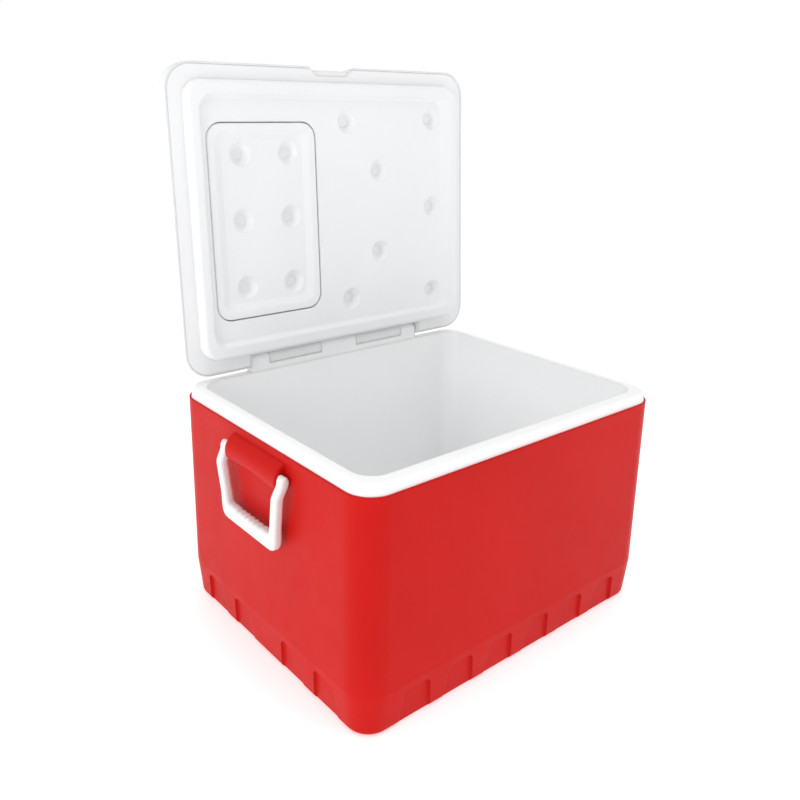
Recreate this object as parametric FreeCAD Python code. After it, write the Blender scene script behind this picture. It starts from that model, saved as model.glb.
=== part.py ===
"""Large insulated picnic cooler with a hinged lid, a hatch in the lid and two bail handles.

Millimetres. The origin is the centre of the base face that stands on the ground. +Z is up, +X runs
towards the right end and +Y towards the hinges. The lid pieces are modelled closed and are then
turned open about the hinge, which is how the cooler is stored. The handles hang down.
"""
import FreeCAD, Part
import math
import os

V = FreeCAD.Vector
X_AXIS = V(1, 0, 0)
Y_AXIS = V(0, 1, 0)
Z_AXIS = V(0, 0, 1)

# Red outer shell
BODY_WIDTH = 620.0
BODY_DEPTH = 506.0
SHELL_TOP = 366.0
SHELL_CORNER = 44.0
SHELL_WALL = 3.0
TAPER_HEIGHT = 68.0
TAPER_INSET = 7.0
BASE_FILLET = 9.0

# Base recesses, moulded round the foot of the shell
RECESS_FOOT_WIDTH = 60.0
RECESS_HEAD_WIDTH = 46.0
RECESS_HEIGHT = 57.5
RECESS_DEPTH = 4.0
RECESS_HEAD_RADIUS = 10.0
RECESS_ROOT_RADIUS = 2.5
RUN_OUT = 20.0
FRONT_RECESS_SPACING = 85.0
FRONT_RECESS_COUNT = 6
END_RECESS_PLACES = (-158.0, -70.5, 70.5, 158.0)

# White liner and its rim
LINER_WALL = 3.0
LINER_FLOOR = 40.0
INNER_TOP_X = 286.0
INNER_TOP_Y = 227.0
INNER_FLOOR_X = 270.0
INNER_FLOOR_Y = 212.0
INNER_CORNER = 34.0
INNER_FLOOR_FILLET = 22.0
RIM_TOP = 382.0
RIM_SKIRT_FOOT = 348.0
RIM_FIT_GAP = 0.3
RIM_BAND_INSET = 4.5
RIM_ROUND = 3.5
FOAM_GAP = 0.2

# Lid hinge
HINGE_Y = 241.5
HINGE_Z = 400.9
HINGE_OPEN_DEG = 93.2
BARREL_RADIUS = 13.0
BARREL_CLEARANCE = 0.6
RAIL_HALF = 187.0
RAIL_END_GAP = 1.0
HINGE_LIP_DROP = 7.4
BODY_KNUCKLES = ((-187.0, -150.0), (-40.0, 40.0), (150.0, 187.0))
LID_KNUCKLES = ((-149.5, -40.5), (40.5, 149.5))
ROD_RADIUS = 3.0
ROD_RUNNING_GAP = 0.06
REAR_SWEEP_RADIUS = 18.5

# Lid, closed: the flange rests just above the rim
LID_HALF_WIDTH = 309.3
LID_HALF_DEPTH = 251.1
LID_CORNER = 44.0
LID_BOTTOM = 382.5
LID_THICKNESS = 34.5
LID_EDGE_ROUND = 17.0
LID_WALL = 3.0
PLUG_DEPTH = 18.5
PLUG_HALF_WIDTH = 283.0
PLUG_FRONT = -226.0
PLUG_REAR = 224.0
PLUG_CORNER = 32.0
PLUG_DRAFT = 3.0
TRAY_DEPTH = 7.5
TRAY_HALF_WIDTH = 264.0
TRAY_HALF_DEPTH = 202.5
TRAY_CORNER = 26.0
TRAY_FLOOR_CORNER = 16.0
TRAY_SLOPE_LEFT = 7.0
TRAY_SLOPE_RIGHT = 22.5
TRAY_SLOPE_Y = 7.5
PANEL_WALL = 2.5
PANEL_FIT_GAP = 0.2
PLUG_ROUND = 5.0
FOAM_MARGIN = 6.0
DIMPLE_MOUTH_RADIUS = 19.5
DIMPLE_FLOOR_RADIUS = 9.0
DIMPLE_DEPTH = 11.5
LID_DIMPLES = ((21, -160), (219, -164), (90, -74), (219, 0), (90, 74), (219, 164), (21, 155))
NOTCH_OUTER_HALF = 48.0
NOTCH_INNER_HALF = 33.0
NOTCH_DEPTH = 15.0
NOTCH_HEIGHT = 7.0
NOTCH_RELIEF = 6.0
NOTCH_RELIEF_TOP = 33.0

# Hatch in the lid
HATCH_X = -149.6
HATCH_Y = 0.0
HATCH_HALF_WIDTH = 103.0
HATCH_HALF_DEPTH = 160.3
HATCH_CORNER = 27.0
HATCH_GAP = 1.5
HATCH_DRAFT = 4.5
HATCH_LEDGE_WIDTH = 7.0
HATCH_PLATE = 6.0
HATCH_SKIRT = 14.0
HATCH_TRAY_MARGIN = 12.0
HATCH_TRAY_SLOPE = 13.0
HATCH_TRAY_DEPTH = 6.0
HATCH_TRAY_CORNER = 19.0
HATCH_EDGE_ROUND = 2.5
HATCH_DIMPLES = tuple((x, y) for x in (-190.5, -99.0) for y in (-110.0, -3.0, 109.0))
HATCH_HINGE_HALF = 60.0
HATCH_KNUCKLE_HALF = 29.5
HATCH_LUGS = ((-60.0, -30.0), (30.0, 60.0))
HATCH_BARREL_RADIUS = 4.5
HATCH_SET_BACK = 2.5
HATCH_TROUGH_GAP = 1.2
HATCH_TROUGH_FRONT = 3.0
HATCH_PIN_RADIUS = 2.0
HATCH_PIN_GAP = 0.05
PULL_HALF_WIDTH = 30.0
PULL_HALF_DEPTH = 14.0
PULL_SINK = 8.0

# Levels in the closed lid that follow from the sizes above
LID_TOP = LID_BOTTOM + LID_THICKNESS
PLUG_FACE = LID_BOTTOM - PLUG_DEPTH
TRAY_FLOOR = PLUG_FACE + TRAY_DEPTH
LID_REAR_WALL = HINGE_Y - BARREL_RADIUS - BARREL_CLEARANCE
HATCH_SEAT = LID_TOP - HATCH_PLATE
HATCH_JOINT = HATCH_SEAT - HATCH_SKIRT
HATCH_FRONT = HATCH_Y - HATCH_HALF_DEPTH - HATCH_DRAFT - HATCH_LEDGE_WIDTH
HATCH_AXIS_Y = HATCH_Y + HATCH_HALF_DEPTH + HATCH_DRAFT + HATCH_LEDGE_WIDTH + HATCH_BARREL_RADIUS + 1.0
HATCH_AXIS_Z = LID_TOP - HATCH_BARREL_RADIUS

# Bail handles, one at each end
PIVOT_X = 319.5
PIVOT_Z = 333.0
PIVOT_PIN_RADIUS = 4.0
PIVOT_GAP = 0.08
PIVOT_PIN_LENGTH = 11.0
HOOD_HALF = 71.0
HOOD_TOP = 355.0
HOOD_FOOT = 318.5
HOOD_ARCH = 5.0
HOOD_REACH = 17.5
HOOD_END_THICKNESS = 15.0
ARM_GAP = 0.6
ARM_WIDTH = 16.0
ARM_THICKNESS = 15.0
ARM_TOP_HALF = 80.0
ARM_FOOT_HALF = 67.5
ARM_KNEE_X = 328.5
ARM_FOOT_X = 326.5
KNEE_Z = 313.0
GRIP_TOP_Z = 248.0
GRIP_FOOT_Z = 222.0
GRIP_CORNER = 13.0
GRIP_INNER_CORNER = 5.0
KNEE_ROUND = 25.0
HANDLE_ROUND = 4.0
HANDLE_RUN_OUT = 20.0
GRIP_RIPPLES = 6
GRIP_RIPPLE_PITCH = 12.0
GRIP_RIPPLE_DEPTH = 1.6

# Drain at the foot of the right end
DRAIN_Z = 62.0
DRAIN_BORE_RADIUS = 7.0
DRAIN_TUBE_RADIUS = 10.0
DRAIN_FLANGE_RADIUS = 16.0
DRAIN_FLANGE = 3.0
DRAIN_NUT_WIDTH = 26.0
DRAIN_NUT_THICKNESS = 6.0
DRAIN_SEAL_THICKNESS = 2.0
DRAIN_PLUG_HEAD = 7.0
DRAIN_PLUG_LENGTH = 16.0
DRAIN_PAD_X = 262.0
DRAIN_PAD_RADIUS = 17.0
DRAIN_BOSS = 1.0
DRAIN_BOSS_MARGIN = 3.0
DRAIN_FLANGE_GAP = 0.2


# Construction helpers

def rounded_wire(half_x, half_y, radius, z, centre=(0.0, 0.0)):
    """A closed rectangle with round corners at height z."""
    arcs = []
    for quarter, (side_x, side_y) in enumerate(((1, 1), (-1, 1), (-1, -1), (1, -1))):
        middle_x = centre[0] + side_x * (half_x - radius)
        middle_y = centre[1] + side_y * (half_y - radius)
        points = []
        for step in range(3):
            angle = math.radians(90 * quarter + 45 * step)
            points.append(V(middle_x + radius * math.cos(angle), middle_y + radius * math.sin(angle), z))
        arcs.append(points)
    edges = []
    for points, following in zip(arcs, arcs[1:] + arcs[:1]):
        edges.append(Part.Arc(*points).toShape())
        edges.append(Part.LineSegment(points[2], following[0]).toShape())
    return Part.Wire(edges)


def slab(half_x, half_y, radius, z_low, z_high, centre=(0.0, 0.0)):
    """A straight-sided block with round vertical edges."""
    return Part.Face(rounded_wire(half_x, half_y, radius, z_low, centre)).extrude(V(0, 0, z_high - z_low))


def tapered(low, high, centre=(0.0, 0.0)):
    """A block between two rounded rectangles, each (half_x, half_y, radius, z)."""
    return Part.makeLoft([rounded_wire(*low, centre), rounded_wire(*high, centre)], True, True)


def box(x_span, y_span, z_span):
    """A box from its three (low, high) spans."""
    low = V(x_span[0], y_span[0], z_span[0])
    return Part.makeBox(x_span[1] - x_span[0], y_span[1] - y_span[0], z_span[1] - z_span[0], low)


def rod(radius, start, axis, length):
    """A cylinder from start, along axis."""
    return Part.makeCylinder(radius, length, start, axis)


def plate(points, thickness_vector):
    """A polygon extruded along thickness_vector."""
    return Part.Face(Part.makePolygon(points + points[:1])).extrude(thickness_vector)


def edges_where(shape, test):
    """The edges whose ends and middle all pass the test."""
    chosen = []
    for edge in shape.Edges:
        middle = edge.valueAt((edge.FirstParameter + edge.LastParameter) / 2)
        if all(test(point) for point in [middle] + [vertex.Point for vertex in edge.Vertexes]):
            chosen.append(edge)
    return chosen


def edges_centred(shape, test):
    """The edges whose middle point passes the test."""
    return [edge for edge in shape.Edges if test(edge.valueAt((edge.FirstParameter + edge.LastParameter) / 2))]


def at_height(z):
    """A test for points that lie at height z."""
    return lambda point: abs(point.z - z) < 0.01


def fused(shapes):
    """One solid from several that touch or overlap."""
    result = shapes[0]
    for shape in shapes[1:]:
        result = result.fuse(shape)
    return result.removeSplitter()


def mirrored_x(shape):
    """The same shape at the other end of the cooler."""
    return shape.mirror(V(0, 0, 0), X_AXIS)


# Outer shell

def shell_envelope(inset, top):
    """The outside of the shell, or the same form set in by a wall."""
    half_x = BODY_WIDTH / 2 - inset
    half_y = BODY_DEPTH / 2 - inset
    corner = SHELL_CORNER - inset
    foot = (half_x - TAPER_INSET, half_y - TAPER_INSET, corner - TAPER_INSET, inset)
    body = tapered(foot, (half_x, half_y, corner, TAPER_HEIGHT))
    body = fused([body, slab(half_x, half_y, corner, TAPER_HEIGHT, top)])
    return body.makeFillet(BASE_FILLET - inset, edges_where(body, at_height(inset)))


def recess(wall_distance, grow):
    """A base recess in the wall that faces -Y, or its outside when grown by a wall thickness."""
    foot_half = RECESS_FOOT_WIDTH / 2 + grow
    head_half = RECESS_HEAD_WIDTH / 2 + grow
    below = RUN_OUT
    flare = (foot_half - head_half) * below / RECESS_HEIGHT
    inner = RECESS_DEPTH + grow
    head = RECESS_HEIGHT + grow
    outline = [V(-foot_half - flare, inner, -below), V(foot_half + flare, inner, -below),
               V(head_half, inner, head), V(-head_half, inner, head)]
    cutter = plate(outline, V(0, -inner - RUN_OUT, 0))
    head_corners = [edge for edge in edges_where(cutter, at_height(head))
                    if abs(edge.tangentAt(edge.FirstParameter).y) > 0.9]
    cutter = cutter.makeFillet(RECESS_HEAD_RADIUS + grow, head_corners)
    root = edges_where(cutter, lambda point: abs(point.y - inner) < 0.01)
    root = [edge for edge in root if edge.BoundBox.ZMax > -below + 1]
    cutter = cutter.makeFillet(RECESS_ROOT_RADIUS, root)
    lean = math.degrees(math.atan2(TAPER_INSET, TAPER_HEIGHT))
    cutter.rotate(V(0, 0, 0), X_AXIS, lean)
    cutter.translate(V(0, TAPER_INSET - wall_distance, 0))
    return cutter


def base_recesses(grow):
    """All the recesses: six on each long side and four on each end."""
    cutters = []
    long_side = recess(BODY_DEPTH / 2, grow)
    end_side = recess(BODY_WIDTH / 2, grow)
    first = -(FRONT_RECESS_COUNT - 1) / 2 * FRONT_RECESS_SPACING
    for number in range(FRONT_RECESS_COUNT):
        for turn in (0, 180):
            cutter = long_side.translated(V(first + number * FRONT_RECESS_SPACING, 0, 0))
            cutters.append(cutter.rotate(V(0, 0, 0), Z_AXIS, turn))
    for place in END_RECESS_PLACES:
        for turn in (90, -90):
            cutters.append(end_side.translated(V(place, 0, 0)).rotate(V(0, 0, 0), Z_AXIS, turn))
    return cutters


def hood_profile(grow):
    """Side outline of the handle hood on the right end, from its top down to its lip."""
    wall = BODY_WIDTH / 2
    reach = wall + HOOD_REACH - grow
    lip = V(reach - 2.0, 0, HOOD_FOOT + grow)
    crown = V(reach, 0, PIVOT_Z + 2.0)
    shoulder = V(wall + 0.62 * HOOD_REACH - grow, 0, HOOD_TOP - 6.5 - grow)
    top = V(wall, 0, HOOD_TOP - grow)
    inside_top = V(wall - SHELL_WALL - 1.0, 0, HOOD_TOP - grow)
    inside_foot = V(wall - SHELL_WALL - 1.0, 0, HOOD_FOOT + grow)
    outer = Part.BSplineCurve()
    outer.interpolate([lip, crown, shoulder, top])
    edges = [outer.toShape()]
    for start, end in ((top, inside_top), (inside_top, inside_foot), (inside_foot, lip)):
        edges.append(Part.LineSegment(start, end).toShape())
    return Part.Face(Part.Wire(edges))


def hood_arch():
    """The gentle arch under the hood's lip, as a cutter that runs through the hood."""
    wall = BODY_WIDTH / 2
    foot = V(wall, -HOOD_HALF + 12.0, HOOD_FOOT - 1.0)
    crown = V(wall, 0, HOOD_FOOT + HOOD_ARCH)
    other = V(wall, HOOD_HALF - 12.0, HOOD_FOOT - 1.0)
    arch = Part.Wire([Part.Arc(foot, crown, other).toShape(), Part.LineSegment(other, foot).toShape()])
    return Part.Face(arch).extrude(V(HOOD_REACH + 5.0, 0, 0))


def handle_hood():
    """The moulded hood on the right end that carries the handle."""
    hood = hood_profile(0.0).extrude(V(0, 2 * HOOD_HALF, 0)).translated(V(0, -HOOD_HALF, 0))
    hood = hood.makeFillet(3.0, edges_centred(hood, lambda p: abs(abs(p.y) - HOOD_HALF) < 0.01
                                              and p.x > BODY_WIDTH / 2 + HOOD_REACH / 2))
    return hood.cut(hood_arch())


def hood_hollow():
    """The hollow behind the hood, which leaves solid ends round the pivot sockets."""
    half = HOOD_HALF - HOOD_END_THICKNESS
    hollow = hood_profile(SHELL_WALL).extrude(V(0, 2 * half, 0)).translated(V(0, -half, 0))
    return hollow.cut(hood_arch().translated(V(0, 0, SHELL_WALL)))


def pivot_sockets():
    """The two blind holes in the hood's ends for the handle's pivot pins."""
    sockets = []
    for side in (1, -1):
        start = V(PIVOT_X, side * (HOOD_HALF + 1.0), PIVOT_Z)
        sockets.append(rod(PIVOT_PIN_RADIUS + PIVOT_GAP, start, V(0, -side, 0), PIVOT_PIN_LENGTH + 2.0))
    return sockets


def shell_cavity(inset):
    """The space inside the shell, open at the top."""
    cavity = shell_envelope(inset, SHELL_TOP + 1.0)
    for cutter in base_recesses(inset):
        cavity = cavity.cut(cutter)
    return cavity


def outer_shell():
    """The red shell: tapered foot, base recesses, a hood at each end and the drain hole."""
    body = shell_envelope(0.0, SHELL_TOP)
    for cutter in base_recesses(0.0):
        body = body.cut(cutter)
    hood = handle_hood()
    body = fused([body, hood, mirrored_x(hood), drain_boss()])
    body = body.cut(shell_cavity(SHELL_WALL))
    for hollow in (hood_hollow(), mirrored_x(hood_hollow())):
        body = body.cut(hollow)
    for socket in pivot_sockets():
        body = body.cut(socket).cut(mirrored_x(socket))
    return body.cut(drain_passage(DRAIN_TUBE_RADIUS + 0.1))


# Liner and insulation

def basin(grow, top):
    """The liner's inside up to height top, or its outside when grown by a wall thickness."""
    floor = LINER_FLOOR + LINER_WALL
    share = (top - floor) / (RIM_TOP - floor)
    mouth_x = INNER_FLOOR_X + (INNER_TOP_X - INNER_FLOOR_X) * share
    mouth_y = INNER_FLOOR_Y + (INNER_TOP_Y - INNER_FLOOR_Y) * share
    foot = (INNER_FLOOR_X + grow, INNER_FLOOR_Y + grow, INNER_CORNER + grow, floor - grow)
    form = tapered(foot, (mouth_x + grow, mouth_y + grow, INNER_CORNER + grow, top))
    return form.makeFillet(INNER_FLOOR_FILLET + grow, edges_where(form, at_height(floor - grow)))


def rim_block():
    """The rim before it is hollowed: skirt inside the shell, then a sloping band above the shell's lip."""
    half_x = BODY_WIDTH / 2 - SHELL_WALL - RIM_FIT_GAP
    half_y = BODY_DEPTH / 2 - SHELL_WALL - RIM_FIT_GAP
    corner = SHELL_CORNER - SHELL_WALL - RIM_FIT_GAP
    skirt = slab(half_x, half_y, corner, RIM_SKIRT_FOOT, SHELL_TOP)
    band_top = (half_x - RIM_BAND_INSET, half_y - RIM_BAND_INSET, corner - RIM_BAND_INSET, RIM_TOP)
    band = tapered((half_x, half_y, corner, SHELL_TOP), band_top)
    band = band.makeFillet(RIM_ROUND, edges_where(band, at_height(RIM_TOP)))
    return fused([skirt, band])


def rim_channel():
    """The channel under the rim, between the skirt and the basin wall."""
    inset = SHELL_WALL + RIM_FIT_GAP + LINER_WALL
    outer = slab(BODY_WIDTH / 2 - inset, BODY_DEPTH / 2 - inset, SHELL_CORNER - inset, RIM_SKIRT_FOOT - 1.0,
                 SHELL_TOP)
    slope = (BODY_WIDTH / 2 - inset, BODY_DEPTH / 2 - inset, SHELL_CORNER - inset, SHELL_TOP)
    crest = (slope[0] - RIM_BAND_INSET, slope[1] - RIM_BAND_INSET, slope[2] - RIM_BAND_INSET,
             RIM_TOP - LINER_WALL)
    return fused([outer, tapered(slope, crest)])


def hinge_rail():
    """The rail on the rear of the rim, its lip in front of the lid's knuckles, and its own knuckles."""
    rail_front = INNER_TOP_Y + 1.5
    rail_rear = BODY_DEPTH / 2 - SHELL_WALL - RIM_FIT_GAP - RIM_BAND_INSET
    rail_top = HINGE_Z - BARREL_RADIUS - BARREL_CLEARANCE
    lip = box((-RAIL_HALF, RAIL_HALF), (rail_front, HINGE_Y), (RIM_TOP - 2.0, HINGE_Z - HINGE_LIP_DROP))
    seat = rod(BARREL_RADIUS + BARREL_CLEARANCE, V(-RAIL_HALF - 1.0, HINGE_Y, HINGE_Z), X_AXIS,
               2 * RAIL_HALF + 2.0)
    pieces = [box((-RAIL_HALF, RAIL_HALF), (rail_front, rail_rear), (RIM_TOP - 2.0, rail_top)), lip.cut(seat)]
    for start, end in BODY_KNUCKLES:
        pieces.append(rod(BARREL_RADIUS, V(start, HINGE_Y, HINGE_Z), X_AXIS, end - start))
        pieces.append(box((start, end), (HINGE_Y - BARREL_RADIUS, rail_rear), (RIM_TOP - 2.0, HINGE_Z)))
    return pieces


def inner_liner():
    """The white liner: basin, rim with its skirt, and the body half of the lid hinge."""
    wall = basin(LINER_WALL, RIM_TOP - 1.0)
    block = fused([rim_block().cut(rim_channel()), wall])
    block = fused([block] + hinge_rail())
    inside = basin(0.0, RIM_TOP + 4.0)
    pad = rod(DRAIN_PAD_RADIUS, V(DRAIN_PAD_X, 0, DRAIN_Z), X_AXIS, INNER_TOP_X - DRAIN_PAD_X)
    block = block.cut(inside.cut(pad)).fuse(inside.common(pad)).removeSplitter()
    block = block.cut(rod(ROD_RADIUS, V(-RAIL_HALF - 1.0, HINGE_Y, HINGE_Z), X_AXIS, 2 * RAIL_HALF + 2.0))
    return block.cut(drain_passage(DRAIN_TUBE_RADIUS + 0.1))


def body_foam():
    """The insulation between the shell and the liner."""
    foam = shell_cavity(SHELL_WALL + FOAM_GAP)
    trim = box((-BODY_WIDTH, BODY_WIDTH), (-BODY_DEPTH, BODY_DEPTH), (RIM_SKIRT_FOOT - FOAM_GAP, RIM_TOP + 10.0))
    foam = foam.cut(trim)
    foam = foam.cut(basin(LINER_WALL + FOAM_GAP, RIM_TOP - 1.0))
    return foam.cut(drain_passage(DRAIN_TUBE_RADIUS + FOAM_GAP))


# Lid

def lid_form(inset):
    """The lid's outside, closed: a straight side band that rounds over to the top."""
    top = LID_TOP - inset
    form = slab(LID_HALF_WIDTH - inset, LID_HALF_DEPTH - inset, LID_CORNER - inset, LID_BOTTOM, top)
    return form.makeFillet(LID_EDGE_ROUND - inset, edges_where(form, at_height(top)))


def hinge_relief():
    """What the lid leaves out at the rear so that it can turn past the rim, rail and body knuckles."""
    half = RAIL_HALF + RAIL_END_GAP
    notch = box((-half, half), (LID_REAR_WALL, LID_HALF_DEPTH + 20.0), (PLUG_FACE - 10.0, LID_TOP + 10.0))
    corner = box((-LID_HALF_WIDTH - 1.0, LID_HALF_WIDTH + 1.0), (HINGE_Y, LID_HALF_DEPTH + 1.0),
                 (LID_BOTTOM - 1.0, HINGE_Z - 8.0))
    sweep = rod(REAR_SWEEP_RADIUS, V(-LID_HALF_WIDTH - 2.0, HINGE_Y, HINGE_Z), X_AXIS, 2 * LID_HALF_WIDTH + 4.0)
    return [notch, corner.cut(sweep)]


def lid_knuckles():
    """The lid half of the hinge: barrels joined to the lid's rear wall by a web."""
    pieces = []
    for start, end in LID_KNUCKLES:
        pieces.append(rod(BARREL_RADIUS, V(start, HINGE_Y, HINGE_Z), X_AXIS, end - start))
        pieces.append(box((start, end), (LID_REAR_WALL - 2.0, HINGE_Y), (HINGE_Z - 4.0, HINGE_Z + BARREL_RADIUS)))
    return pieces


def hatch_block(grow, z_low, z_high):
    """The hatch opening in the lid: wider at the top, so that the hatch lifts out."""
    sections = []
    for z in (z_low, z_high):
        spread = grow + HATCH_DRAFT * (z - TRAY_FLOOR) / (HATCH_SEAT - TRAY_FLOOR)
        sections.append((HATCH_HALF_WIDTH + spread, HATCH_HALF_DEPTH + spread, HATCH_CORNER + spread, z))
    return tapered(sections[0], sections[1], (HATCH_X, HATCH_Y))


def hatch_rebate(grow, z_low, z_high):
    """The shallow seat in the lid's top for the hatch's cover plate."""
    edge = HATCH_DRAFT + HATCH_LEDGE_WIDTH + grow
    return slab(HATCH_HALF_WIDTH + edge, HATCH_HALF_DEPTH + edge, HATCH_CORNER + edge, z_low, z_high,
                (HATCH_X, HATCH_Y))


def hatch_trough(grow):
    """The trough in the lid's top that holds the hatch hinge, or its outside when grown."""
    half = HATCH_HINGE_HALF + 1.0 + grow
    reach = HATCH_BARREL_RADIUS + HATCH_TROUGH_GAP + grow
    front = HATCH_AXIS_Y - reach - HATCH_TROUGH_FRONT
    return box((HATCH_X - half, HATCH_X + half), (front, HATCH_AXIS_Y + reach),
               (HATCH_AXIS_Z - reach, LID_TOP + 1.0))


def pull_scoop(grow):
    """The finger scoop in front of the hatch's cover plate, or its outside when grown."""
    foot = LID_TOP - PULL_SINK - grow
    scoop = slab(PULL_HALF_WIDTH + grow, PULL_HALF_DEPTH + grow, PULL_HALF_DEPTH - 2.0, foot, LID_TOP + 1.0,
                 (HATCH_X, HATCH_FRONT))
    return scoop.makeFillet(4.0, edges_where(scoop, at_height(foot)))


def lid_cover():
    """The lid's outer cover, open below, with the hatch seat and the hinge knuckles."""
    inside = lid_form(LID_WALL)
    half = RAIL_HALF + RAIL_END_GAP + LID_WALL
    rear_wall = box((-half, half), (LID_REAR_WALL - LID_WALL, LID_HALF_DEPTH), (LID_BOTTOM, LID_TOP))
    seat_floor = hatch_rebate(LID_WALL, HATCH_SEAT - LID_WALL, LID_TOP)
    for solid_part in (rear_wall, seat_floor, hatch_trough(LID_WALL), pull_scoop(LID_WALL), notch_backing()):
        inside = inside.cut(solid_part)
    cover = lid_form(0.0).cut(inside)
    for cutter in hinge_relief() + [finger_notch(0.0), notch_relief()]:
        cover = cover.cut(cutter)
    for cutter in (hatch_block(0.0, LID_BOTTOM, HATCH_SEAT + 0.5), hatch_rebate(0.0, HATCH_SEAT, LID_TOP + 1.0),
                   pull_scoop(0.0), hatch_trough(0.0)):
        cover = cover.cut(cutter)
    lugs = []
    for start, end in HATCH_LUGS:
        lugs.append(rod(HATCH_BARREL_RADIUS, V(HATCH_X + start, HATCH_AXIS_Y, HATCH_AXIS_Z), X_AXIS, end - start))
        lugs.append(box((HATCH_X + start, HATCH_X + end), (HATCH_AXIS_Y, HATCH_AXIS_Y + 6.5),
                        (HATCH_AXIS_Z - 3.0, HATCH_AXIS_Z + 3.0)))
    cover = fused([cover] + lugs + lid_knuckles())
    cover = cover.cut(rod(ROD_RADIUS + ROD_RUNNING_GAP, V(-RAIL_HALF, HINGE_Y, HINGE_Z), X_AXIS, 2 * RAIL_HALF))
    pin_start = V(HATCH_X - HATCH_HINGE_HALF - 1.0, HATCH_AXIS_Y, HATCH_AXIS_Z)
    return cover.cut(rod(HATCH_PIN_RADIUS, pin_start, X_AXIS, 2 * HATCH_HINGE_HALF + 2.0))


def dimple(place, floor_z, grow):
    """A cone pressed up into a panel at floor_z."""
    x, y = place
    return Part.makeCone(DIMPLE_MOUTH_RADIUS + grow, DIMPLE_FLOOR_RADIUS + grow, DIMPLE_DEPTH,
                         V(x, y, floor_z + grow), Z_AXIS)


def plug_form(grow, top):
    """The raised plug under the lid, narrowing downwards."""
    middle = (PLUG_FRONT + PLUG_REAR) / 2
    half_y = (PLUG_REAR - PLUG_FRONT) / 2
    low = (PLUG_HALF_WIDTH - PLUG_DRAFT + grow, half_y - PLUG_DRAFT + grow, PLUG_CORNER - PLUG_DRAFT + grow,
           PLUG_FACE - grow)
    high = (PLUG_HALF_WIDTH + grow, half_y + grow, PLUG_CORNER + grow, top)
    form = tapered(low, high, (0.0, middle))
    return form.makeFillet(PLUG_ROUND + grow, edges_where(form, at_height(low[3])))


def tray_form(grow):
    """The shallow tray recessed into the plug. Its left side is steep and its right side is gentle."""
    mouth = rounded_wire(TRAY_HALF_WIDTH + grow, TRAY_HALF_DEPTH + grow, TRAY_CORNER + grow, PLUG_FACE - 0.01)
    floor_half = TRAY_HALF_WIDTH - (TRAY_SLOPE_LEFT + TRAY_SLOPE_RIGHT) / 2
    floor = rounded_wire(floor_half + grow, TRAY_HALF_DEPTH - TRAY_SLOPE_Y + grow, TRAY_FLOOR_CORNER + grow,
                         TRAY_FLOOR + grow, ((TRAY_SLOPE_LEFT - TRAY_SLOPE_RIGHT) / 2, 0.0))
    return Part.makeLoft([mouth, floor], True, True)


def finger_notch(grow):
    """The slanted-sided notch in the middle of the lid's front edge."""
    front = -LID_HALF_DEPTH
    outer = NOTCH_OUTER_HALF + grow
    inner = NOTCH_INNER_HALF + grow
    level = LID_BOTTOM - 1.0
    outline = [V(-outer, front - 1.0, level), V(outer, front - 1.0, level),
               V(inner, front + NOTCH_DEPTH + grow, level), V(-inner, front + NOTCH_DEPTH + grow, level)]
    return plate(outline, V(0, 0, NOTCH_HEIGHT + 1.0 + grow))


def notch_relief():
    """The slanted-sided hollow in the lid's front face, above the notch."""
    outer = NOTCH_OUTER_HALF
    front = -LID_HALF_DEPTH
    level = LID_BOTTOM - 1.0
    outline = [V(-outer - 1.0, front - 1.0, level), V(outer + 1.0, front - 1.0, level),
               V(outer - NOTCH_RELIEF, front + NOTCH_RELIEF, level),
               V(-outer + NOTCH_RELIEF, front + NOTCH_RELIEF, level)]
    return plate(outline, V(0, 0, NOTCH_RELIEF_TOP + 1.0))


def notch_backing():
    """The wall that the lid's cover keeps behind the relief, above the panel's notch."""
    foot = LID_BOTTOM + NOTCH_HEIGHT + PANEL_WALL + PANEL_FIT_GAP
    half = NOTCH_OUTER_HALF + LID_WALL
    return box((-half, half), (-LID_HALF_DEPTH, -LID_HALF_DEPTH + NOTCH_RELIEF + LID_WALL), (foot, LID_TOP))


def panel_hollow():
    """The space above the lid's inner panel, over the plug, round the tray and the dimples."""
    hollow = plug_form(-PANEL_WALL, LID_BOTTOM + PANEL_WALL + 1.0)
    hollow = hollow.cut(tray_form(PANEL_WALL))
    for place in LID_DIMPLES:
        hollow = hollow.cut(dimple(place, TRAY_FLOOR, PANEL_WALL))
    return hollow


def lid_panel():
    """The lid's inner panel: flange, plug, tray, pressed dimples and the hatch well's lower half."""
    inset = LID_WALL + PANEL_FIT_GAP
    outline = slab(LID_HALF_WIDTH - inset, LID_HALF_DEPTH - inset, LID_CORNER - inset, LID_BOTTOM, LID_TOP)
    flange = slab(LID_HALF_WIDTH - inset, LID_HALF_DEPTH - inset, LID_CORNER - inset, LID_BOTTOM,
                  LID_BOTTOM + PANEL_WALL)
    body = fused([flange, plug_form(0.0, LID_BOTTOM + 0.01)]).cut(panel_hollow())
    well = hatch_block(PANEL_WALL, TRAY_FLOOR, HATCH_SEAT - LID_WALL - PANEL_FIT_GAP)
    body = fused([body, finger_notch(PANEL_WALL).common(outline), well])
    body = body.cut(tray_form(0.0))
    for place in LID_DIMPLES:
        body = body.cut(dimple(place, TRAY_FLOOR - 0.01, 0.0))
    body = body.cut(finger_notch(0.0))
    body = body.cut(hatch_block(0.0, TRAY_FLOOR - 1.0, HATCH_SEAT))
    for cutter in hinge_relief() + [hatch_trough(inset), pull_scoop(inset), notch_relief()]:
        body = body.cut(cutter)
    half = RAIL_HALF + RAIL_END_GAP + inset
    return body.cut(box((-half, half), (LID_REAR_WALL - inset, LID_HALF_DEPTH), (LID_BOTTOM - 1.0, LID_TOP)))


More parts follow.
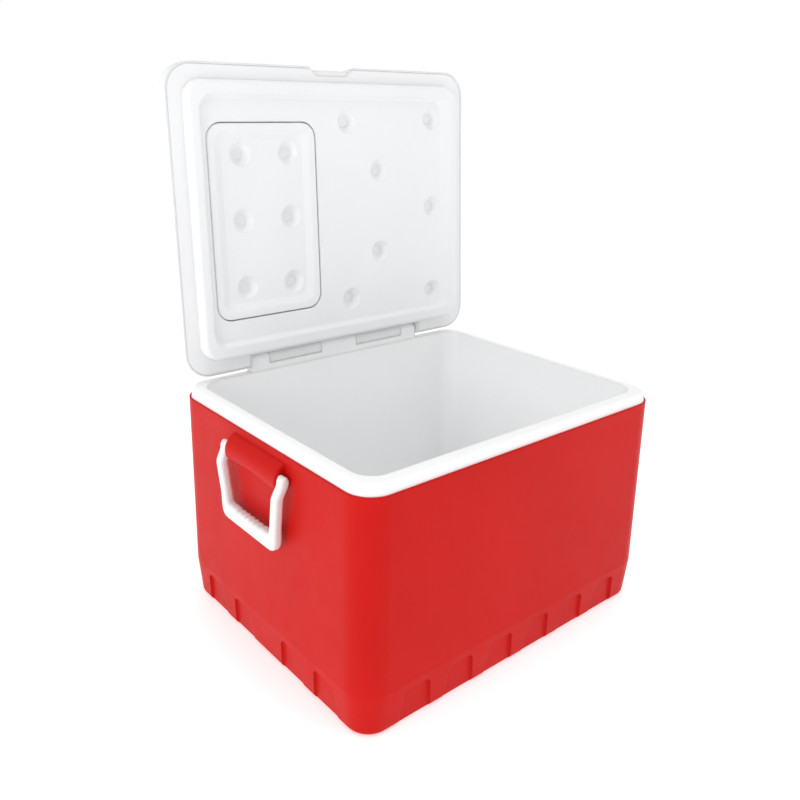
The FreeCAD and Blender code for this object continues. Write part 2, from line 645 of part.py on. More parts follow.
def lid_foam():
    """The insulation inside the lid, clear of the panel's dimples and of the hatch well."""
    core = slab(PLUG_HALF_WIDTH - FOAM_MARGIN, (PLUG_REAR - PLUG_FRONT) / 2 - FOAM_MARGIN,
                PLUG_CORNER - FOAM_MARGIN, TRAY_FLOOR + PANEL_WALL + FOAM_GAP, LID_TOP - LID_WALL - FOAM_GAP,
                (0.0, (PLUG_FRONT + PLUG_REAR) / 2))
    for place in LID_DIMPLES:
        core = core.cut(dimple(place, TRAY_FLOOR, PANEL_WALL + FOAM_GAP))
    for cutter in (hatch_block(PANEL_WALL + FOAM_GAP, TRAY_FLOOR, LID_TOP),
                   hatch_rebate(LID_WALL + FOAM_GAP, HATCH_SEAT - LID_WALL - FOAM_GAP, LID_TOP),
                   hatch_trough(LID_WALL + FOAM_GAP), pull_scoop(LID_WALL + FOAM_GAP)):
        core = core.cut(cutter)
    return core


# Hatch

def hatch_cover():
    """The hatch's cover plate with its hinge knuckle and the skirt that carries the inner pan."""
    plate_foot = HATCH_SEAT + 0.2
    edge = HATCH_DRAFT + HATCH_LEDGE_WIDTH - HATCH_GAP / 2
    cover = slab(HATCH_HALF_WIDTH + edge, HATCH_HALF_DEPTH + edge - HATCH_SET_BACK / 2, HATCH_CORNER + edge,
                 plate_foot, LID_TOP, (HATCH_X, HATCH_Y - HATCH_SET_BACK / 2))
    cover = cover.makeFillet(2.0, edges_where(cover, at_height(LID_TOP)))
    skirt = hatch_block(-HATCH_GAP, HATCH_JOINT, HATCH_SEAT + 1.0)
    skirt = skirt.cut(hatch_block(-HATCH_GAP - LID_WALL, HATCH_JOINT - 1.0, plate_foot))
    barrel = rod(HATCH_BARREL_RADIUS, V(HATCH_X - HATCH_KNUCKLE_HALF, HATCH_AXIS_Y, HATCH_AXIS_Z), X_AXIS,
                 2 * HATCH_KNUCKLE_HALF)
    web = box((HATCH_X - HATCH_KNUCKLE_HALF, HATCH_X + HATCH_KNUCKLE_HALF), (HATCH_AXIS_Y - 11.0, HATCH_AXIS_Y),
              (HATCH_AXIS_Z, LID_TOP))
    cover = fused([cover, skirt, barrel, web])
    start = V(HATCH_X - HATCH_HINGE_HALF, HATCH_AXIS_Y, HATCH_AXIS_Z)
    return cover.cut(rod(HATCH_PIN_RADIUS + HATCH_PIN_GAP, start, X_AXIS, 2 * HATCH_HINGE_HALF))


def hatch_tray(grow):
    """The tray recessed into the hatch's underside."""
    half_x = HATCH_HALF_WIDTH - HATCH_GAP - HATCH_TRAY_MARGIN
    half_y = HATCH_HALF_DEPTH - HATCH_GAP - HATCH_TRAY_MARGIN
    low = (half_x + grow, half_y + grow, HATCH_TRAY_CORNER + grow, TRAY_FLOOR - 0.01)
    high = (half_x - HATCH_TRAY_SLOPE + grow, half_y - HATCH_TRAY_SLOPE + grow, HATCH_TRAY_CORNER - 5.0 + grow,
            TRAY_FLOOR + HATCH_TRAY_DEPTH + grow)
    return tapered(low, high, (HATCH_X, HATCH_Y))


def hatch_panel():
    """The hatch's inner pan: draughted sides, recessed tray and pressed dimples."""
    tray_floor = TRAY_FLOOR + HATCH_TRAY_DEPTH
    pan = hatch_block(-HATCH_GAP, TRAY_FLOOR, HATCH_JOINT - PANEL_FIT_GAP)
    pan = pan.makeFillet(HATCH_EDGE_ROUND, edges_where(pan, at_height(TRAY_FLOOR)))
    hollow = hatch_block(-HATCH_GAP - PANEL_WALL, TRAY_FLOOR + PANEL_WALL, HATCH_JOINT + 1.0)
    hollow = hollow.cut(hatch_tray(PANEL_WALL))
    for place in HATCH_DIMPLES:
        hollow = hollow.cut(dimple(place, tray_floor, PANEL_WALL))
    pan = pan.cut(hollow).cut(hatch_tray(0.0))
    for place in HATCH_DIMPLES:
        pan = pan.cut(dimple(place, tray_floor - 0.01, 0.0))
    return pan


def hatch_foam():
    """The insulation inside the hatch."""
    tray_floor = TRAY_FLOOR + HATCH_TRAY_DEPTH
    core = hatch_block(-HATCH_GAP - LID_WALL - 1.0, tray_floor + PANEL_WALL + FOAM_GAP, HATCH_SEAT - FOAM_GAP)
    for place in HATCH_DIMPLES:
        core = core.cut(dimple(place, tray_floor, PANEL_WALL + FOAM_GAP))
    return core


# Hinge pins

def lid_hinge_rod():
    """The steel rod through all the lid hinge's knuckles."""
    return rod(ROD_RADIUS, V(-RAIL_HALF + 0.5, HINGE_Y, HINGE_Z), X_AXIS, 2 * RAIL_HALF - 1.0)


def hatch_hinge_pin():
    """The pin through the hatch hinge."""
    start = V(HATCH_X - HATCH_HINGE_HALF + 0.5, HATCH_AXIS_Y, HATCH_AXIS_Z)
    return rod(HATCH_PIN_RADIUS, start, X_AXIS, 2 * HATCH_HINGE_HALF - 1.0)


# Handles

def handle_outline():
    """The handle seen from the end: a U with slanted arms and round corners."""
    half = ARM_WIDTH / 2
    top = PIVOT_Z + half
    knee_half = ARM_TOP_HALF - 1.0
    outer_side = [V(0, ARM_TOP_HALF + half, top), V(0, knee_half + half, KNEE_Z),
                  V(0, ARM_FOOT_HALF + half, GRIP_FOOT_Z)]
    inner_side = [V(0, ARM_FOOT_HALF - half, GRIP_TOP_Z), V(0, knee_half - half, KNEE_Z),
                  V(0, ARM_TOP_HALF - half, top)]
    mirror_outer = [V(0, -point.y, point.z) for point in reversed(outer_side)]
    mirror_inner = [V(0, -point.y, point.z) for point in reversed(inner_side)]
    blank = plate(outer_side + mirror_outer + mirror_inner + inner_side, V(2 * HANDLE_RUN_OUT, 0, 0))
    blank = blank.makeFillet(GRIP_CORNER, handle_corners(blank, GRIP_FOOT_Z, ARM_FOOT_HALF + half))
    return blank.makeFillet(GRIP_INNER_CORNER, handle_corners(blank, GRIP_TOP_Z, ARM_FOOT_HALF - half))


def handle_corners(blank, z, half_y):
    """The two corner edges of the handle's outline at height z."""
    return edges_where(blank, lambda point: abs(point.z - z) < 0.01 and abs(abs(point.y) - half_y) < 0.01)


def handle_outer_edges(blank):
    """The long edges round the outside of the arms and the grip, below the knee."""
    def outside(point):
        return point.z < KNEE_Z - 10.0 and (point.z < GRIP_FOOT_Z + 10.0 or abs(point.y) > ARM_TOP_HALF)
    return edges_centred(blank, outside)


def handle_side():
    """The handle seen from the front: close to the wall at the pivot, then out and down."""
    half = ARM_THICKNESS / 2
    outer = [V(PIVOT_X + half, 0, PIVOT_Z), V(ARM_KNEE_X + half, 0, KNEE_Z), V(ARM_FOOT_X + half, 0, GRIP_FOOT_Z)]
    inner = [V(ARM_FOOT_X - half, 0, GRIP_FOOT_Z), V(ARM_KNEE_X - half, 0, KNEE_Z),
             V(PIVOT_X - half, 0, PIVOT_Z)]
    length = 2 * (ARM_TOP_HALF + ARM_WIDTH)
    start = -length / 2
    side = plate(outer + inner, V(0, length, 0)).translated(V(0, start, 0))
    side = side.makeFillet(KNEE_ROUND, edges_where(side, at_height(KNEE_Z)))
    return fused([side, rod(half, V(PIVOT_X, start, PIVOT_Z), Y_AXIS, length)])


def handle():
    """The right-hand handle: one moulding with two pivot pins that point inwards."""
    blank = handle_outline().translated(V(ARM_FOOT_X - HANDLE_RUN_OUT, 0, 0)).common(handle_side())
    blank = blank.removeSplitter()
    blank = blank.makeFillet(HANDLE_ROUND, handle_outer_edges(blank))
    ripple_radius = (GRIP_RIPPLE_PITCH ** 2 / 4 + GRIP_RIPPLE_DEPTH ** 2) / (2 * GRIP_RIPPLE_DEPTH)
    first = -(GRIP_RIPPLES - 1) / 2 * GRIP_RIPPLE_PITCH
    level = GRIP_TOP_Z - GRIP_RIPPLE_DEPTH + ripple_radius
    for number in range(GRIP_RIPPLES):
        start = V(ARM_FOOT_X - HANDLE_RUN_OUT, first + number * GRIP_RIPPLE_PITCH, level)
        blank = blank.cut(rod(ripple_radius, start, X_AXIS, 2 * HANDLE_RUN_OUT))
    pins = []
    for side in (1, -1):
        start = V(PIVOT_X, side * (ARM_TOP_HALF - ARM_WIDTH / 2 + 1.0), PIVOT_Z)
        pins.append(rod(PIVOT_PIN_RADIUS, start, V(0, -side, 0), PIVOT_PIN_LENGTH + 1.0))
    return fused([blank] + pins)


# Drain

def drain_passage(radius):
    """The hole through shell, foam and liner at the foot of the right end."""
    return rod(radius, V(INNER_FLOOR_X - 20.0, 0, DRAIN_Z), X_AXIS, 80.0)


def drain_wall_x():
    """Where the shell's outside is at the height of the drain."""
    return BODY_WIDTH / 2 - TAPER_INSET * (1 - DRAIN_Z / TAPER_HEIGHT)


def drain_seat_x():
    """Where the drain's flange sits, just off the shell's boss."""
    return drain_wall_x() + DRAIN_BOSS + DRAIN_FLANGE_GAP


def drain_boss():
    """The flat round boss on the shell behind the drain's flange."""
    start = BODY_WIDTH / 2 - TAPER_INSET - SHELL_WALL
    return rod(DRAIN_FLANGE_RADIUS + DRAIN_BOSS_MARGIN, V(start, 0, DRAIN_Z), X_AXIS,
               drain_wall_x() + DRAIN_BOSS - start)


def drain_spout():
    """The drain tube with its outer flange."""
    face = drain_seat_x()
    inner_end = DRAIN_PAD_X - DRAIN_NUT_THICKNESS - 1.0
    tube = rod(DRAIN_TUBE_RADIUS, V(inner_end, 0, DRAIN_Z), X_AXIS, face - inner_end + DRAIN_FLANGE)
    flange = rod(DRAIN_FLANGE_RADIUS, V(face, 0, DRAIN_Z), X_AXIS, DRAIN_FLANGE)
    flange = flange.makeFillet(1.2, edges_where(flange, lambda p: p.x > face + DRAIN_FLANGE - 0.01))
    spout = fused([tube, flange])
    return spout.cut(rod(DRAIN_BORE_RADIUS, V(inner_end - 1.0, 0, DRAIN_Z), X_AXIS, 90.0))


def drain_nut():
    """The six-sided nut that holds the drain tube inside the liner."""
    across = DRAIN_NUT_WIDTH / 2 / math.cos(math.radians(30))
    points = []
    for corner in range(6):
        angle = math.radians(60 * corner)
        points.append(V(DRAIN_PAD_X, across * math.cos(angle), DRAIN_Z + across * math.sin(angle)))
    nut = plate(points, V(-DRAIN_NUT_THICKNESS, 0, 0))
    return nut.cut(drain_passage(DRAIN_TUBE_RADIUS))


def drain_seal():
    """The rubber ring under the plug's head."""
    start = V(drain_seat_x() + DRAIN_FLANGE, 0, DRAIN_Z)
    ring = rod(DRAIN_BORE_RADIUS + 4.0, start, X_AXIS, DRAIN_SEAL_THICKNESS)
    return ring.cut(rod(DRAIN_BORE_RADIUS - 1.0, start, X_AXIS, DRAIN_SEAL_THICKNESS))


def drain_plug():
    """The push-in plug with a pull tab."""
    head_start = drain_seat_x() + DRAIN_FLANGE + DRAIN_SEAL_THICKNESS
    start = V(head_start, 0, DRAIN_Z)
    head = rod(DRAIN_BORE_RADIUS + 6.0, start, X_AXIS, DRAIN_PLUG_HEAD - 3.0)
    head = head.makeFillet(1.5, edges_where(head, lambda p: p.x > head_start + DRAIN_PLUG_HEAD - 3.01))
    stem = rod(DRAIN_BORE_RADIUS - 1.0, V(head_start - DRAIN_PLUG_LENGTH, 0, DRAIN_Z), X_AXIS,
               DRAIN_PLUG_LENGTH + 1.0)
    tab = box((head_start + 2.0, head_start + DRAIN_PLUG_HEAD), (-9.0, 9.0), (DRAIN_Z - 2.5, DRAIN_Z + 2.5))
    return fused([head, stem, tab])


# Assembly

def opened(shape):
    """A lid piece turned from closed to open about the lid hinge."""
    return shape.rotated(V(0, HINGE_Y, HINGE_Z), X_AXIS, -HINGE_OPEN_DEG)


def build_nodes():
    """Every node's shape, in place, with the lid open and the handles hanging."""
    right_handle = handle()
    return {
        "outer_shell": outer_shell(),
        "inner_liner": inner_liner(),
        "body_foam": body_foam(),
        "lid_cover": opened(lid_cover()),
        "lid_panel": opened(lid_panel()),
        "lid_foam": opened(lid_foam()),
        "lid_hinge_rod": lid_hinge_rod(),
        "hatch_cover": opened(hatch_cover()),
        "hatch_panel": opened(hatch_panel()),
        "hatch_foam": opened(hatch_foam()),
        "hatch_hinge_pin": opened(hatch_hinge_pin()),
        "handle_right": right_handle,
        "handle_left": mirrored_x(right_handle),
        "drain_spout": drain_spout(),
        "drain_nut": drain_nut(),
        "drain_seal": drain_seal(),
        "drain_plug": drain_plug(),
    }


os.makedirs("parts", exist_ok=True)
for name, shape in build_nodes().items():
    print(name, "valid", shape.isValid(), "solids", len(shape.Solids), "volume", round(shape.Volume / 1000), "cm3")
    shape.exportStep("parts/" + name + ".step")
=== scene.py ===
"""Looks of the cooler: materials, smooth handles, studio, camera. Metres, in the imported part's frame."""
import math
import bmesh
import bpy
from mathutils import Matrix, Vector


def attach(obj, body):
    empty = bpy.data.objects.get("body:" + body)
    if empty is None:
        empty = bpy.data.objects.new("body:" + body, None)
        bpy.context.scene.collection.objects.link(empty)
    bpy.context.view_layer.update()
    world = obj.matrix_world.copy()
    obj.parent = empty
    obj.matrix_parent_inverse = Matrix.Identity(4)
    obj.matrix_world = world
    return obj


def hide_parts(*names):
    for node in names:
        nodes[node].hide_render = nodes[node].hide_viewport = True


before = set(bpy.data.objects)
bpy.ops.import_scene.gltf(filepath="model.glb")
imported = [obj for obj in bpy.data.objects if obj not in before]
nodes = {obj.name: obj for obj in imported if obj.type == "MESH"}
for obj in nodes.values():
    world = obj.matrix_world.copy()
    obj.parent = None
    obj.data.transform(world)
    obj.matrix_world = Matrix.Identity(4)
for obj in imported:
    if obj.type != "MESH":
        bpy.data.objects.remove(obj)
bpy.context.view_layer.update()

# Camera: where the photograph was taken from
CAMERA_PLACE = Vector((-0.8716, -0.9777, 0.8451))
CAMERA_HEADING = math.radians(40.15)
CAMERA_DOWN = math.radians(16.26)
CAMERA_ROLL = math.radians(1.15)
CAMERA_LENS = 37.27
CAMERA_SENSOR = 36.0
CAMERA_SHIFT = (0.0011, -0.0754)


# Materials

NOISE_LOW = 0.3
NOISE_HIGH = 0.7
DRIFT_SCALE = 5.0
SHEEN_SCALE = 30.0
SHEEN_SWING = 0.04
BLOOM_SCALE = 60.0
FOAM_CELL_SCALE = 420.0


class Shader:
    """A small wrapper that adds nodes to one material and links them."""

    def __init__(self, name):
        self.material = bpy.data.materials.new(name)
        self.material.use_nodes = True
        self.tree = self.material.node_tree
        self.surface = self.tree.nodes["Principled BSDF"]
        self.place = self.tree.nodes.new("ShaderNodeTexCoord").outputs["Object"]

    def add(self, kind, inputs=None, **settings):
        node = self.tree.nodes.new(kind)
        for key, value in settings.items():
            setattr(node, key, value)
        for key, value in (inputs or {}).items():
            if isinstance(value, bpy.types.NodeSocket):
                self.tree.links.new(value, node.inputs[key])
            else:
                node.inputs[key].default_value = value
        return node

    def link(self, output, socket):
        self.tree.links.new(output, self.surface.inputs[socket])

    def noise(self, scale, detail=3.0):
        inputs = {"Vector": self.place, "Scale": scale, "Detail": detail}
        return self.add("ShaderNodeTexNoise", inputs).outputs["Fac"]

    def span(self, value, low, high):
        """Stretch the band where most of a noise lies to the range from low to high."""
        inputs = {"Value": value, "From Min": NOISE_LOW, "From Max": NOISE_HIGH,
                  "To Min": low, "To Max": high}
        return self.add("ShaderNodeMapRange", inputs).outputs["Result"]

    def tones(self, value, first, last):
        ramp = self.add("ShaderNodeValToRGB", {"Fac": value})
        ramp.color_ramp.elements[0].color = (*first, 1.0)
        ramp.color_ramp.elements[1].color = (*last, 1.0)
        self.link(ramp.outputs["Color"], "Base Color")


def plastic(name, colour, shade, roughness, grain, grain_height, edge, shine=0.5):
    """Moulded plastic: colour that drifts slightly, a fine moulded grain and softened edges."""
    s = Shader(name)
    s.tones(s.span(s.noise(DRIFT_SCALE), 0.0, 1.0), colour, shade)
    s.link(s.span(s.noise(SHEEN_SCALE), roughness - SHEEN_SWING, roughness + SHEEN_SWING), "Roughness")
    soft_edge = s.add("ShaderNodeBevel", {"Radius": edge}, samples=6).outputs["Normal"]
    bump = s.add("ShaderNodeBump", {"Height": s.noise(grain), "Strength": 0.35, "Distance": grain_height,
                                    "Normal": soft_edge})
    s.link(bump.outputs["Normal"], "Normal")
    s.surface.inputs["Specular IOR Level"].default_value = shine
    s.surface.inputs["IOR"].default_value = 1.5
    return s.material


def foam(name):
    """Rigid insulating foam: pale yellow, matte, with small cells."""
    s = Shader(name)
    cells = s.add("ShaderNodeTexVoronoi", {"Vector": s.place, "Scale": FOAM_CELL_SCALE}).outputs["Distance"]
    s.tones(cells, (0.62, 0.52, 0.30), (0.84, 0.76, 0.52))
    bump = s.add("ShaderNodeBump", {"Height": cells, "Strength": 0.5, "Distance": 0.0008})
    s.link(bump.outputs["Normal"], "Normal")
    s.surface.inputs["Roughness"].default_value = 0.9
    return s.material


def steel(name):
    """Drawn steel rod: faint lines along X."""
    s = Shader(name)
    stretch = {"Vector": s.place, "Scale": (4.0, 900.0, 900.0)}
    stretched = s.add("ShaderNodeMapping", stretch).outputs["Vector"]
    lines = s.add("ShaderNodeTexNoise", {"Vector": stretched, "Scale": 1.0, "Detail": 2.0}).outputs["Fac"]
    s.link(s.span(lines, low=0.25, high=0.42), "Roughness")
    s.tones(lines, (0.50, 0.50, 0.51), (0.68, 0.68, 0.69))
    s.surface.inputs["Metallic"].default_value = 1.0
    return s.material


def rubber(name):
    """Black seal rubber with a dusty bloom."""
    s = Shader(name)
    s.tones(s.span(s.noise(BLOOM_SCALE), 0.0, 1.0), (0.018, 0.018, 0.018), (0.045, 0.045, 0.045))
    s.surface.inputs["Roughness"].default_value = 0.75
    return s.material


RED = plastic("red_shell", colour=(0.59, 0.008, 0.006), shade=(0.54, 0.007, 0.005), roughness=0.42,
              grain=1400.0, grain_height=0.0004, edge=0.003, shine=0.09)
LINER = plastic("white_liner", colour=(0.965, 0.968, 0.972), shade=(0.955, 0.958, 0.962), roughness=0.45,
                grain=900.0, grain_height=0.0003, edge=0.005)
LID = plastic("white_lid", colour=(0.87, 0.878, 0.888), shade=(0.845, 0.853, 0.863), roughness=0.48,
              grain=1100.0, grain_height=0.0004, edge=0.004)
HATCH = plastic("white_hatch", colour=(0.87, 0.878, 0.888), shade=(0.845, 0.853, 0.863), roughness=0.48,
                grain=1100.0, grain_height=0.0004, edge=0.004)
HANDLE = plastic("white_handle", colour=(0.83, 0.836, 0.846), shade=(0.80, 0.806, 0.816), roughness=0.32,
                 grain=700.0, grain_height=0.0002, edge=0.002)
DRAIN = plastic("white_drain", colour=(0.84, 0.84, 0.85), shade=(0.80, 0.80, 0.81), roughness=0.35,
                grain=700.0, grain_height=0.0002, edge=0.001)
FOAM = foam("insulating_foam")
STEEL = steel("hinge_steel")
RUBBER = rubber("seal_rubber")

NODE_MATERIALS = {
    "outer_shell": RED, "inner_liner": LINER, "body_foam": FOAM, "lid_cover": LID, "lid_panel": LID,
    "lid_foam": FOAM, "lid_hinge_rod": STEEL, "hatch_cover": HATCH, "hatch_panel": HATCH, "hatch_foam": FOAM,
    "hatch_hinge_pin": STEEL, "handle_right": HANDLE, "handle_left": HANDLE, "drain_spout": DRAIN,
    "drain_nut": DRAIN, "drain_seal": RUBBER, "drain_plug": DRAIN,
}
for name, node in nodes.items():
    node.data.materials.clear()
    node.data.materials.append(NODE_MATERIALS[name])


# Handles: smooth mouldings in place of the sharp-edged solids

# Pivot pins
PIVOT_X = 0.3195
PIVOT_Z = 0.333
PIN_Y = 0.067
PIN_RADIUS = 0.004
PIN_LENGTH = 0.012
PIN_SIDES = 24

# How far out the arm is below the pivot, and how far out its foot is
KNEE_X = 0.3284
KNEE_Z = 0.313
KNEE_RUN_OUT = 0.006
FOOT_X = 0.3265

# Where the arm is along Y, and how far it shifts inward on the way down
ARM_TOP_Y = 0.080
ARM_KNEE_SHIFT = 0.001
ARM_FOOT_SHIFT = 0.0115
ARM_SHIFT_LIMIT = 1.2
ARM_HALF_WIDTH = 0.008
ARM_END = 0.010
ARM_STEP = 0.003

# The rounded top of an arm
CROWN_STEPS = 8
CROWN_STEP_DEGREES = 11.0
CROWN_HEIGHT = 0.008
CROWN_TUCK = 0.0025
CROWN_TUCK_STEPS = 3

# The grip and the corners that lead into it
GRIP_TOP = 0.248
GRIP_FOOT = 0.222
GRIP_STEPS = 52
OUTER_CORNER_RADIUS = 0.015
INNER_CORNER_RADIUS = 0.007
CORNER_STEPS = 12
CORNER_BLEND = 0.008
CORNER_BLEND_SHARE = 0.3

# The handle's thickness, its rounded edges and the finger ripples
HALF_THICKNESS = 0.0075
EDGE_RADIUS = 0.0052
EDGE_SHARE = 0.95
EDGE_STEPS = 5
RIPPLES = 6
RIPPLE_PITCH = 0.012
RIPPLE_DEPTH = 0.0024


def smooth_step(value, low, high):
    """0 at low, 1 at high and a smooth S between them."""
    share = min(max((value - low) / (high - low), 0.0), 1.0)
    return share * share * (3.0 - 2.0 * share)


def handle_x(z):
    """How far out the handle's middle plane is at height z."""
    upper = PIVOT_X + (KNEE_X - PIVOT_X) * smooth_step(z, PIVOT_Z, KNEE_Z - KNEE_RUN_OUT)
    return upper + (FOOT_X - KNEE_X) * smooth_step(z, KNEE_Z, GRIP_TOP)


def arm_sides(z):
    """The outer and inner Y of an arm at height z."""
    middle = ARM_TOP_Y - ARM_KNEE_SHIFT * smooth_step(z, PIVOT_Z, KNEE_Z)
    middle -= ARM_FOOT_SHIFT * min(max((KNEE_Z - z) / (KNEE_Z - GRIP_TOP), 0.0), ARM_SHIFT_LIMIT)
    return middle + ARM_HALF_WIDTH, middle - ARM_HALF_WIDTH


def ripple(y):
    """How far the finger ripples cut into the grip's top at y."""
    if abs(y) > RIPPLES * RIPPLE_PITCH / 2:
        return 0.0
    share = (y / RIPPLE_PITCH) % 1.0
    return RIPPLE_DEPTH * (1.0 - (2.0 * share - 1.0) ** 2)


def corner_arc(corner, before, after, radius):
    """Points that round a corner between two directions that leave it."""
    points = []
    for step in range(CORNER_STEPS + 1):
        share = step / CORNER_STEPS
        first = corner + before * radius * (1.0 - share)
        second = corner + after * radius * share
        points.append(first.lerp(second, share))
    return points


def crown_stations():
    """The rounded top of an arm, from its highest point down to the pivot."""
    stations = []
    outer, inner = arm_sides(PIVOT_Z)
    for step in range(CROWN_STEPS, 0, -1):
        angle = math.radians(CROWN_STEP_DEGREES * step)
        tuck_step = max(step - (CROWN_STEPS - CROWN_TUCK_STEPS), 0)
        tuck = CROWN_TUCK * (1.0 - math.cos(math.radians(90.0 * tuck_step / CROWN_TUCK_STEPS)))
        z = PIVOT_Z + CROWN_HEIGHT * math.sin(angle)
        half_thickness = HALF_THICKNESS * math.cos(angle)
        stations.append((Vector((outer - tuck, z)), Vector((inner + tuck, z)), half_thickness))
    return stations


def arm_stations():
    """An arm, from the pivot down to just above the grip."""
    stations = []
    z = PIVOT_Z
    while z > GRIP_TOP + ARM_END:
        outer, inner = arm_sides(z)
        stations.append((Vector((outer, z)), Vector((inner, z)), HALF_THICKNESS))
        z -= ARM_STEP
    return stations


def grip_stations():
    """The corner from the arm into the grip, then half of the grip."""
    outer_top = Vector((arm_sides(GRIP_TOP + CORNER_BLEND)[0], GRIP_TOP - CORNER_BLEND))
    outer_corner = Vector((arm_sides(GRIP_FOOT)[0], GRIP_FOOT))
    inner_corner = Vector((arm_sides(GRIP_TOP)[1], GRIP_TOP))
    lean = (Vector((arm_sides(KNEE_Z)[0], KNEE_Z)) - outer_corner).normalized()
    inward = Vector((-1.0, 0.0))
    outer_arc = corner_arc(outer_corner, lean, inward, OUTER_CORNER_RADIUS)
    inner_arc = corner_arc(inner_corner, lean, inward, INNER_CORNER_RADIUS)
    outer_arc[0] = outer_arc[0].lerp(outer_top, CORNER_BLEND_SHARE)
    stations = [(outer, inner, HALF_THICKNESS) for outer, inner in zip(outer_arc, inner_arc)]
    for step in range(1, GRIP_STEPS + 1):
        share = 1.0 - step / GRIP_STEPS
        outer = Vector((outer_arc[-1].x * share, GRIP_FOOT))
        y = inner_arc[-1].x * share
        stations.append((outer, Vector((y, GRIP_TOP - ripple(y))), HALF_THICKNESS))
    return stations


def section(outer, inner, half_thickness, side):
    """A rounded rectangle between the outer and the inner point."""
    middle = (outer + inner) / 2
    half_width = (outer - inner).length / 2
    across = (outer - inner).normalized()
    radius = min(EDGE_RADIUS, EDGE_SHARE * half_thickness, EDGE_SHARE * half_width)
    ring = []
    for quarter, (sign_w, sign_t) in enumerate(((1, 1), (-1, 1), (-1, -1), (1, -1))):
        for step in range(EDGE_STEPS + 1):
            angle = math.radians(90.0 * quarter + 90.0 / EDGE_STEPS * step)
            w = sign_w * (half_width - radius) + radius * math.cos(angle)
            t = sign_t * (half_thickness - radius) + radius * math.sin(angle)
            place = middle + across * w
            ring.append(Vector((side * (handle_x(place.y) + t), place.x, place.y)))
    return ring


def build_handle(side, body, node):
    """One bail handle: side is 1 for the right end and -1 for the left.

    Each station is an outer point, an inner point and half the thickness there.
    """
    half = crown_stations() + arm_stations() + grip_stations()
    whole = half + [(Vector((-a.x, a.y)), Vector((-b.x, b.y)), t) for a, b, t in reversed(half[:-1])]
    mesh = bmesh.new()
    rings = [[mesh.verts.new(point) for point in section(a, b, t, side)] for a, b, t in whole]
    for ring, following in zip(rings, rings[1:]):
        for i in range(len(ring)):
            j = (i + 1) % len(ring)
            mesh.faces.new((ring[i], ring[j], following[j], following[i]))
    mesh.faces.new(rings[0])
    mesh.faces.new(list(reversed(rings[-1])))
    for end in (1, -1):
        turn = Matrix.Rotation(math.radians(90.0), 4, "X")
        place = Matrix.Translation((side * PIVOT_X, end * PIN_Y, PIVOT_Z)) @ turn
        bmesh.ops.create_cone(mesh, cap_ends=True, segments=PIN_SIDES, radius1=PIN_RADIUS, radius2=PIN_RADIUS,
                              depth=PIN_LENGTH, matrix=place)
    bmesh.ops.recalc_face_normals(mesh, faces=mesh.faces)
    data = bpy.data.meshes.new(node + "_smooth")
    mesh.to_mesh(data)
    mesh.free()
    data.materials.append(HANDLE)
    piece = bpy.data.objects.new(node + "_smooth", data)
    bpy.context.scene.collection.objects.link(piece)
    data.shade_smooth()
    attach(piece, body)
    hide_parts(node)


build_handle(1, "right_bail", "handle_right")
build_handle(-1, "left_bail", "handle_left")


# Studio: pale floor, white surroundings, soft lights, camera

FLOOR_SIZE = 40.0
FLOOR_Z = -0.0005
FLOOR_DRIFT_SCALE = 2.0
DIM_SIDE = (-0.63, -0.74, 0.22)
DIM_START = 0.3
DIM_FULL = 1.0
AIR_BRIGHT = 0.76
AIR_DIM = 0.45
AIR_SEEN = 1.0
LIGHT_TARGET = (0, 0, 0.4)


def studio_floor():
    """A large plain pale floor under the cooler."""
    bpy.ops.mesh.primitive_plane_add(size=FLOOR_SIZE, location=(0, 0, FLOOR_Z))
    floor = bpy.context.object
    floor.name = "studio_floor"
    s = Shader("pale_floor")
    s.tones(s.span(s.noise(FLOOR_DRIFT_SCALE), 0.0, 1.0), (0.93, 0.93, 0.93), (0.94, 0.94, 0.94))
    s.surface.inputs["Roughness"].default_value = 0.8
    s.surface.inputs["Emission Color"].default_value = (1.0, 1.0, 1.0, 1.0)
    s.surface.inputs["Emission Strength"].default_value = 0.40
    floor.data.materials.append(s.material)


def area_light(name, place, size, power):
    """A square soft light aimed at the cooler's middle."""
    data = bpy.data.lights.new(name, "AREA")
    data.size = size
    data.energy = power
    light = bpy.data.objects.new(name, data)
    light.location = place
    light.rotation_euler = (Vector(LIGHT_TARGET) - Vector(place)).to_track_quat("-Z", "Y").to_euler()
    bpy.context.scene.collection.objects.link(light)


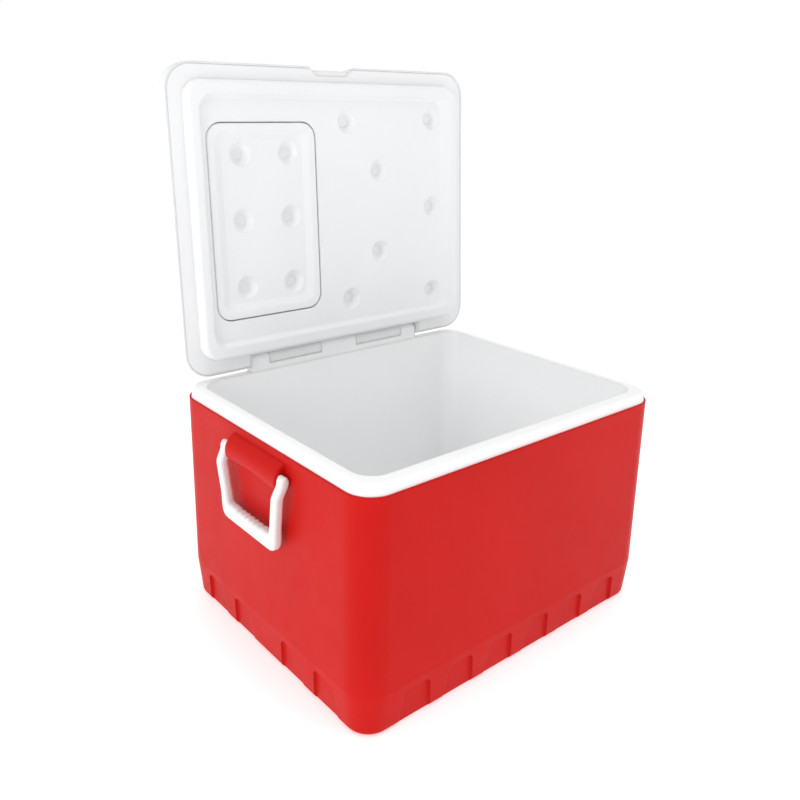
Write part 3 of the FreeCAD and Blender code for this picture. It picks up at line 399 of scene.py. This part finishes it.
def camera():
    """The photograph's camera."""
    data = bpy.data.cameras.new("camera")
    data.lens = CAMERA_LENS
    data.sensor_width = CAMERA_SENSOR
    data.shift_x, data.shift_y = CAMERA_SHIFT
    eye = bpy.data.objects.new("camera", data)
    ahead = Vector((math.sin(CAMERA_HEADING) * math.cos(CAMERA_DOWN),
                    math.cos(CAMERA_HEADING) * math.cos(CAMERA_DOWN), -math.sin(CAMERA_DOWN)))
    right = Vector((math.cos(CAMERA_HEADING), -math.sin(CAMERA_HEADING), 0.0))
    up = right.cross(ahead)
    rolled_right = math.cos(CAMERA_ROLL) * right + math.sin(CAMERA_ROLL) * up
    rolled_up = -math.sin(CAMERA_ROLL) * right + math.cos(CAMERA_ROLL) * up
    turn = Matrix((rolled_right, rolled_up, -ahead)).transposed()
    eye.matrix_world = Matrix.Translation(CAMERA_PLACE) @ turn.to_4x4()
    bpy.context.scene.collection.objects.link(eye)
    bpy.context.scene.camera = eye


def studio_air():
    """Even white surroundings that are dimmer on the side where the photographer stands."""
    world = bpy.data.worlds.new("studio_air")
    world.use_nodes = True
    tree = world.node_tree
    direction = tree.nodes.new("ShaderNodeTexCoord").outputs["Generated"]
    facing = tree.nodes.new("ShaderNodeVectorMath")
    facing.operation = "DOT_PRODUCT"
    facing.inputs[1].default_value = DIM_SIDE
    tree.links.new(direction, facing.inputs[0])
    level = tree.nodes.new("ShaderNodeMapRange")
    level.interpolation_type = "SMOOTHSTEP"
    level.inputs["From Min"].default_value = DIM_START
    level.inputs["From Max"].default_value = DIM_FULL
    level.inputs["To Min"].default_value = AIR_BRIGHT
    level.inputs["To Max"].default_value = AIR_DIM
    tree.links.new(facing.outputs["Value"], level.inputs["Value"])
    seen = tree.nodes.new("ShaderNodeMix")
    seen.inputs["B"].default_value = AIR_SEEN
    tree.links.new(tree.nodes.new("ShaderNodeLightPath").outputs["Is Camera Ray"], seen.inputs["Factor"])
    tree.links.new(level.outputs["Result"], seen.inputs["A"])
    tree.links.new(seen.outputs["Result"], tree.nodes["Background"].inputs["Strength"])
    tree.nodes["Background"].inputs["Color"].default_value = (1.0, 1.0, 1.0, 1.0)
    bpy.context.scene.world = world


studio_floor()
studio_air()
area_light("top", place=(0.0, -0.9, 7.0), size=4.5, power=100.0)
area_light("left", place=(-3.0, -0.7, 1.3), size=1.2, power=26.0)
area_light("right", place=(1.2, -2.8, 1.2), size=1.8, power=9.0)
bpy.context.scene.view_settings.view_transform = "Standard"
camera()
